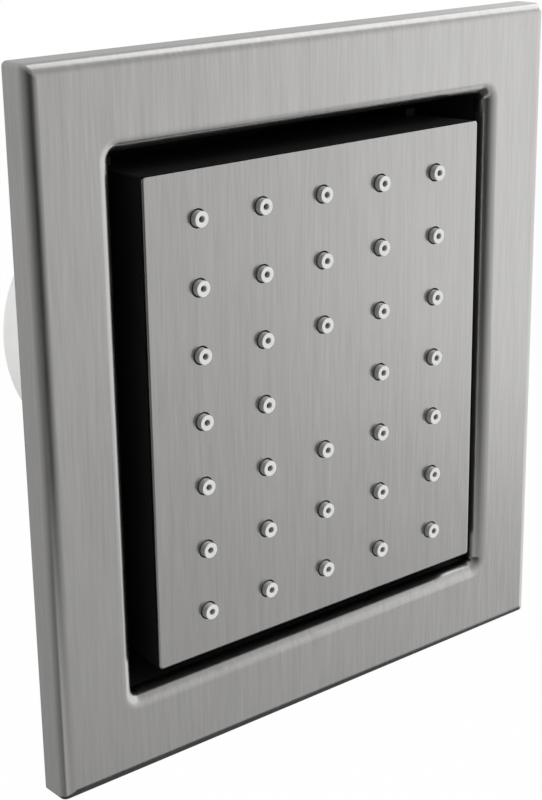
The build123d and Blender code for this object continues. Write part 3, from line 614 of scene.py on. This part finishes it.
def rounded_front(piece, radius, shares, segments):
    """Rounds the rim of the front face, which looks along -Y; each side has its share of the radius."""
    alone(piece)
    points = piece.data.vertices
    front = min(point.co.y for point in points)
    weights = piece.data.attributes.new("bevel_weight_edge", "FLOAT", "EDGE")
    for edge, weight in zip(piece.data.edges, weights.data):
        first, second = (points[end].co for end in edge.vertices)
        if max(first.y, second.y) < front + SAME_PLANE:
            run = (second - first).normalized()
            upright = shares["right" if first.x + second.x > 0 else "left"]
            level = shares["top" if first.z + second.z > 0 else "bottom"]
            weight.value = run.z ** 2 * upright + run.x ** 2 * level
    modifier = piece.modifiers.new("Rim", "BEVEL")
    modifier.width = radius
    modifier.segments = segments
    modifier.limit_method = "WEIGHT"
    bpy.ops.object.modifier_apply(modifier=modifier.name)
    piece.data.attributes.remove(piece.data.attributes["bevel_weight_edge"])


def softened(piece, width, segments, angle=SMOOTH_ANGLE):
    """Breaks the sharp edges of a finished shape and shades it smooth."""
    alone(piece)
    modifier = piece.modifiers.new("Edges", "BEVEL")
    modifier.width = width
    modifier.segments = segments
    modifier.limit_method = "ANGLE"
    modifier.angle_limit = radians(angle)
    bpy.ops.object.modifier_apply(modifier=modifier.name)
    return smoothed(piece, angle)


def smoothed(piece, angle=SMOOTH_ANGLE):
    """Shades a piece smooth, with its flats kept flat by the size of their faces."""
    alone(piece)
    bpy.ops.object.shade_smooth_by_angle(angle=radians(angle))
    modifier = piece.modifiers.new("Flats", "WEIGHTED_NORMAL")
    modifier.keep_sharp = True
    bpy.ops.object.modifier_apply(modifier=modifier.name)
    return piece


def finished(piece, body, slot, *nodes, look=None):
    """Gives a new piece its finish and its body, and hides the nodes that it stands for."""
    piece.data.materials.clear()
    piece.data.materials.append(finish(look or slot))
    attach(piece, body)
    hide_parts(*nodes)


def nozzle_places(sizes):
    """Nozzle centres on the plate: a full grid without its middle place."""
    low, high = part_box("spray_plate")
    columns, rows = sizes.nozzle_columns, sizes.nozzle_rows
    margin_x, margin_z = sizes.nozzle_margin_x, sizes.nozzle_margin_z
    step_x = (high.x - low.x - 2 * margin_x) / (columns - 1)
    step_z = (high.z - low.z - 2 * margin_z) / (rows - 1)
    return [
        Vector((low.x + margin_x + column * step_x, 0, low.z + margin_z + row * step_z))
        for column in range(columns)
        for row in range(rows)
        if (column, row) != (columns // 2, rows // 2)
    ]


# Pieces

class BODYJET_OT_faceplate(bpy.types.Operator):
    """Brush the frame that shows on the wall"""

    bl_idname = "body_jet.faceplate"
    bl_label = "Faceplate"

    def execute(self, context):
        dress("faceplate")
        return {"FINISHED"}


class BODYJET_OT_spray_plate(bpy.types.Operator):
    """Model the spray plate with its broken edges and nozzle holes"""

    bl_idname = "body_jet.spray_plate"
    bl_label = "Spray plate"

    def execute(self, context):
        sizes = context.scene.body_jet_sizes
        low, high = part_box("spray_plate")
        plate = rounded_upright(block("spray_sheet", low, high), sizes.plate_corner, ROUND_STEPS)
        rounded_front(plate, sizes.plate_edge, PLATE_RIM, ROUND_STEPS)
        hole = sizes.nozzle_radius + sizes.hole_clearance
        through = high.y - low.y
        punch = turned("punch", [(hole, low.y - through), (hole, high.y + through)], NOZZLE_SIDES)
        combined(plate, repeated(punch, "punches", nozzle_places(sizes)), "DIFFERENCE")
        softened(plate, sizes.hole_edge, EDGE_STEPS)
        # The plate takes the darker copy of the nickel, a painted shade.
        finished(plate, HEAD, "brushed_nickel", "spray_plate", look="brushed_sheet_painted_shade")
        return {"FINISHED"}


class BODYJET_OT_nozzles(bpy.types.Operator):
    """Model the silicone mat with its nozzles"""

    bl_idname = "body_jet.nozzles"
    bl_label = "Nozzles"

    def execute(self, context):
        sizes = context.scene.body_jet_sizes
        low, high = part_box("nozzle_mat")
        front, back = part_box("spray_plate")[1].y, high.y
        tip, rim, outer = low.y, sizes.nozzle_rim, sizes.nozzle_radius
        narrow = outer - sizes.nozzle_draft
        sheet = block("nozzle_sheet", (low.x, front, low.z), high)
        root = front + (back - front) / 2
        shape = [(outer, root), (outer, front)]
        shape += arc((narrow - rim, tip + rim), rim, 0.0, -90.0, ROUND_STEPS)
        nozzle = turned("nozzle", shape, NOZZLE_SIDES)
        places = nozzle_places(sizes)
        combined(sheet, repeated(nozzle, "nozzles", places), "UNION")
        bore, inlet = sizes.nozzle_bore, sizes.nozzle_inlet
        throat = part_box("spray_plate")[0].y
        flare = NOZZLE_FLARE
        funnel = [(bore + flare + OVERCUT, tip - OVERCUT), (bore + flare, tip), (bore, tip + flare)]
        funnel += [(bore, throat), (inlet, throat + inlet - bore), (inlet, back + OVERCUT)]
        combined(sheet, repeated(turned("jet", funnel, JET_SIDES), "jets", places), "DIFFERENCE")
        smoothed(sheet)
        finished(sheet, HEAD, "grey_silicone", "nozzle_mat")
        return {"FINISHED"}


class BODYJET_OT_head(bpy.types.Operator):
    """Finish the black box of the spray head"""

    bl_idname = "body_jet.head"
    bl_label = "Spray head"

    def execute(self, context):
        dress("head_shell", "chamber_cover", "rear_cover", "head_screws")
        return {"FINISHED"}


class BODYJET_OT_ball_joint(bpy.types.Operator):
    """Finish the ball joint"""

    bl_idname = "body_jet.ball_joint"
    bl_label = "Ball joint"

    def execute(self, context):
        dress("ball_stem", "stem_o_ring", "anti_turn_pins", "seat_ring", "ball_seal", "ball_nut")
        return {"FINISHED"}


class BODYJET_OT_recess(bpy.types.Operator):
    """Finish the recess behind the head"""

    bl_idname = "body_jet.recess"
    bl_label = "Recess"

    def execute(self, context):
        dress("recess_tub", "wall_gasket", "faceplate_clips")
        return {"FINISHED"}


class BODYJET_OT_housing(bpy.types.Operator):
    """Model the round housing in the wall with its moulded edges"""

    bl_idname = "body_jet.housing"
    bl_label = "Housing"

    def execute(self, context):
        sizes = context.scene.body_jet_sizes
        can = softened(copied("mounting_can", "wall_can"), sizes.plastic_edge, EDGE_STEPS, HOUSING_ANGLE)
        finished(can, WALL, "white_plastic", "mounting_can")
        dress("can_gasket", "can_screws")
        return {"FINISHED"}


class BODYJET_OT_inlet(bpy.types.Operator):
    """Model the water inlet with its pipe thread"""

    bl_idname = "body_jet.inlet"
    bl_label = "Inlet"

    def execute(self, context):
        sizes = context.scene.body_jet_sizes
        fitting = copied("inlet_body", "inlet_fitting")
        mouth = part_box("inlet_body")[1].y
        turns = round(sizes.thread_run / sizes.thread_pitch)
        # The groove's last half turn runs out through the mouth
        start = mouth - (turns - 0.5) * sizes.thread_pitch
        groove = helix(
            "groove", sizes.thread_bore, sizes.thread_depth, start, sizes.thread_pitch, turns, THREAD_STEPS,
        )
        smoothed(combined(fitting, groove, "DIFFERENCE"), THREAD_ANGLE)
        finished(fitting, WALL, "brass", "inlet_body")
        dress("inlet_gasket", "inlet_locknut", "inlet_strainer", "flow_regulator")
        return {"FINISHED"}


# Studio

CAMERA_PLACE = Vector((-0.20777, -0.24352, 0.10336))
CAMERA_AIM = Vector((-0.01420, -0.01009, 0.00119))
CAMERA_NEAR = 0.01
KEY_PLACE, KEY_SIZE = (0.80, -0.95, 0.80), (1.3, 1.3)
BACK_PLACE, BACK_SIZE = (-1.0, 0.95, 0.45), (1.0, 1.0)
SIDE_PLACE, SIDE_SIZE = (1.00, 0.10, 0.75), (0.9, 1.2)
FLOOR_DEPTH = 1.0
FLOOR_RADIUS = 6.0
FLOOR_SIDES = 96
FLOOR_GLOW = 0.985
SCRIM_RADIUS = 0.9
SCRIM_SEGMENTS, SCRIM_RINGS = 96, 48
SCRIM_CENTRE = Vector((-0.584, -0.778, -0.231))
# Keeps the share to the right finite straight above and below
POLE_GUARD = 0.0001

# Grading of the scrim by direction, fitted to the tones of the metal. A ramp is given as the parts of the
# direction where it starts and ends, and how open the scrim is there.
HAZE_LIMIT, HAZE_POWER, HAZE_SHARE = 1.5, 0.528, 0.398
HAZE_FOOT = (-0.51, -0.20, 0.866, 1.0)
SLOPE_OFFSET, SLOPE_SHARE = 0.399, 0.316
SLOPE_RISE, SLOPE_LEVEL, SLOPE_LEAST, SLOPE_MOST = 1.452, 1.475, 0.3, 1.15
WINDOW_SIDE = (0.609, 0.949, 0.0, 0.861)
WINDOW_SILL = (-0.40, -0.223, 0.0, 1.0)
STRIP_SIDE = (0.84, 0.94, 0.0, 0.7)
STRIP_FOOT = (-0.62, -0.50, 0.0, 1.0)
STRIP_HEAD = (-0.10, 0.15, 1.0, 0.0)
RIGHT_BACK = (0.30, 0.80, 1.0, 0.2)
RIGHT_HEAD = (0.0, 0.703, 1.0, 0.1)
LOW_REACH, LOW_SHARE = 0.62, 0.35
LOW_HEAD = (-0.47, -0.36, 1.0, 0.0)
LOW_BACK = (-0.45, -0.20, 1.0, 0.0)
BELOW_EDGE = (-0.67, -0.65, 0.152, 1.0)
BELOW_BACK = (0.45, 0.75, 0.0, 0.7)


def aimed(place, aim):
    """Rotation that looks from a place to an aim."""
    return (Vector(aim) - Vector(place)).to_track_quat("-Z", "Y")


def lamp(name, place, size, power):
    """A softbox, wide by tall, that looks at the part."""
    bpy.ops.object.select_all(action="DESELECT")
    bpy.ops.object.light_add(type="AREA", location=place)
    made = bpy.context.object
    made.name = name
    made.rotation_euler = aimed(place, (0, 0, 0)).to_euler()
    made.data.shape = "RECTANGLE"
    made.data.size, made.data.size_y = size
    made.data.energy = power
    made.visible_camera = False
    return made


def scrim():
    """A round black net that only reflections see: dense round the camera and below, open at the right."""
    bpy.ops.object.select_all(action="DESELECT")
    bpy.ops.mesh.primitive_uv_sphere_add(
        segments=SCRIM_SEGMENTS, ring_count=SCRIM_RINGS, radius=SCRIM_RADIUS,
    )
    net = bpy.context.object
    net.name = "scrim"
    bpy.ops.object.shade_smooth()
    make = Finish("scrim")
    unit = 1.0 / SCRIM_RADIUS
    parts = make.node("ShaderNodeSeparateXYZ", {}, {"Vector": make.place})
    x, y, z = (make.value(parts, axis) * unit for axis in "XYZ")
    to_camera = x * SCRIM_CENTRE.x + y * SCRIM_CENTRE.y + z * SCRIM_CENTRE.z
    rightward = x * (x * x + y * y + POLE_GUARD) ** -0.5
    haze = (1.0 - to_camera).larger(0.0).smaller(HAZE_LIMIT) ** HAZE_POWER * HAZE_SHARE
    around = haze * make.ramp(z, *HAZE_FOOT)
    rise = (z * SLOPE_RISE + SLOPE_LEVEL).larger(SLOPE_LEAST).smaller(SLOPE_MOST)
    slope = (rightward + SLOPE_OFFSET).larger(0.0) * SLOPE_SHARE * rise
    window = make.ramp(rightward, *WINDOW_SIDE) * make.ramp(z, *WINDOW_SILL)
    strip = make.ramp(rightward, *STRIP_SIDE) * make.ramp(z, *STRIP_FOOT) * make.ramp(z, *STRIP_HEAD)
    right = (slope + window + strip) * make.ramp(y, *RIGHT_BACK) * make.ramp(z, *RIGHT_HEAD)
    low = (LOW_REACH - rightward) * LOW_SHARE * make.ramp(z, *LOW_HEAD) * make.ramp(y, *LOW_BACK)
    below = make.ramp(z, *BELOW_EDGE).larger(make.ramp(y, *BELOW_BACK))
    opened = ((around + right + low) * below).smaller(1.0)
    black = make.node("ShaderNodeBsdfDiffuse", {}, {"Color": (0.01, 0.01, 0.01, 1)})
    clear = make.node("ShaderNodeBsdfTransparent", {}, {"Color": (1, 1, 1, 1)})
    net.data.materials.append(make.mixed(opened, black, clear))
    net.visible_camera = False
    net.visible_diffuse = False
    net.visible_shadow = False


def paper_floor():
    """A white paper floor that reads as part of the room."""
    bpy.ops.object.select_all(action="DESELECT")
    bpy.ops.mesh.primitive_circle_add(
        vertices=FLOOR_SIDES, radius=FLOOR_RADIUS, fill_type="NGON", location=(0, 0, -FLOOR_DEPTH),
    )
    floor = bpy.context.object
    floor.name = "floor"
    make = Finish("floor")
    paper = make.grain(even(8.0))
    matt = make.node("ShaderNodeBsdfDiffuse", {}, {
        "Color": make.between(paper, (0.90, 0.90, 0.90), (0.95, 0.95, 0.95)),
    })
    glow = make.node("ShaderNodeEmission", {}, {"Color": (1, 1, 1, 1), "Strength": 1.0})
    floor.data.materials.append(make.mixed(make.light_path() * FLOOR_GLOW, matt, glow))


def white_room(scene, ambient):
    """A world that is white to the camera and to reflections, and dimmer as a light."""
    world = bpy.data.worlds.new("white_room")
    world.use_nodes = True
    scene.world = world
    room = Tree(world.node_tree)
    strength = ambient + room.light_path() * (1.0 - ambient)
    white = room.node("ShaderNodeBackground", {}, {"Color": (1, 1, 1, 1), "Strength": strength})
    room.node("ShaderNodeOutputWorld", {}, {"Surface": room.value(white, "Background")})


class BODYJET_OT_studio(bpy.types.Operator):
    """Set the camera, the lamps, the scrim, the floor and the white room"""

    bl_idname = "body_jet.studio"
    bl_label = "Studio"

    def execute(self, context):
        studio = context.scene.body_jet_studio
        context.scene.view_settings.view_transform = "Standard"

        bpy.ops.object.select_all(action="DESELECT")
        bpy.ops.object.camera_add(location=CAMERA_PLACE)
        camera = context.object
        turn = aimed(CAMERA_PLACE, CAMERA_AIM) @ Quaternion((0, 0, 1), studio.roll)
        camera.rotation_euler = turn.to_euler()
        camera.data.lens = studio.lens
        camera.data.clip_start = CAMERA_NEAR
        context.scene.camera = camera

        lamp("key_lamp", KEY_PLACE, KEY_SIZE, studio.key).visible_glossy = False
        lamp("back_lamp", BACK_PLACE, BACK_SIZE, studio.back).visible_glossy = False
        lamp("side_lamp", SIDE_PLACE, SIDE_SIZE, studio.side)
        scrim()
        paper_floor()
        white_room(context.scene, studio.ambient)
        return {"FINISHED"}


PIECES = (
    BODYJET_OT_faceplate,
    BODYJET_OT_spray_plate,
    BODYJET_OT_nozzles,
    BODYJET_OT_head,
    BODYJET_OT_ball_joint,
    BODYJET_OT_recess,
    BODYJET_OT_housing,
    BODYJET_OT_inlet,
    BODYJET_OT_studio,
)


class BODYJET_PT_sidebar(bpy.types.Panel):
    """The pieces of the body jet and their sizes"""

    bl_label = "Flush Body Jet"
    bl_space_type = "VIEW_3D"
    bl_region_type = "UI"
    bl_category = "Body Jet"

    def draw(self, context):
        for piece in PIECES:
            self.layout.operator(piece.bl_idname)
        scene = context.scene
        for group in (scene.body_jet_sizes, scene.body_jet_finishes, scene.body_jet_studio):
            for name in group.bl_rna.properties.keys():
                if name not in {"rna_type", "name"}:
                    self.layout.prop(group, name)


CLASSES = (BodyJetSizes, BodyJetFinishes, BodyJetStudio, *PIECES, BODYJET_PT_sidebar)


def register():
    for entry in CLASSES:
        bpy.utils.register_class(entry)
    bpy.types.Scene.body_jet_sizes = PointerProperty(type=BodyJetSizes)
    bpy.types.Scene.body_jet_finishes = PointerProperty(type=BodyJetFinishes)
    bpy.types.Scene.body_jet_studio = PointerProperty(type=BodyJetStudio)


def unregister():
    del bpy.types.Scene.body_jet_studio
    del bpy.types.Scene.body_jet_finishes
    del bpy.types.Scene.body_jet_sizes
    for entry in reversed(CLASSES):
        bpy.utils.unregister_class(entry)


def main():
    register()
    bpy.ops.body_jet.faceplate()
    bpy.ops.body_jet.spray_plate()
    bpy.ops.body_jet.nozzles()
    bpy.ops.body_jet.head()
    bpy.ops.body_jet.ball_joint()
    bpy.ops.body_jet.recess()
    bpy.ops.body_jet.housing()
    bpy.ops.body_jet.inlet()
    bpy.ops.body_jet.studio()


if __name__ == "__main__":
    main()
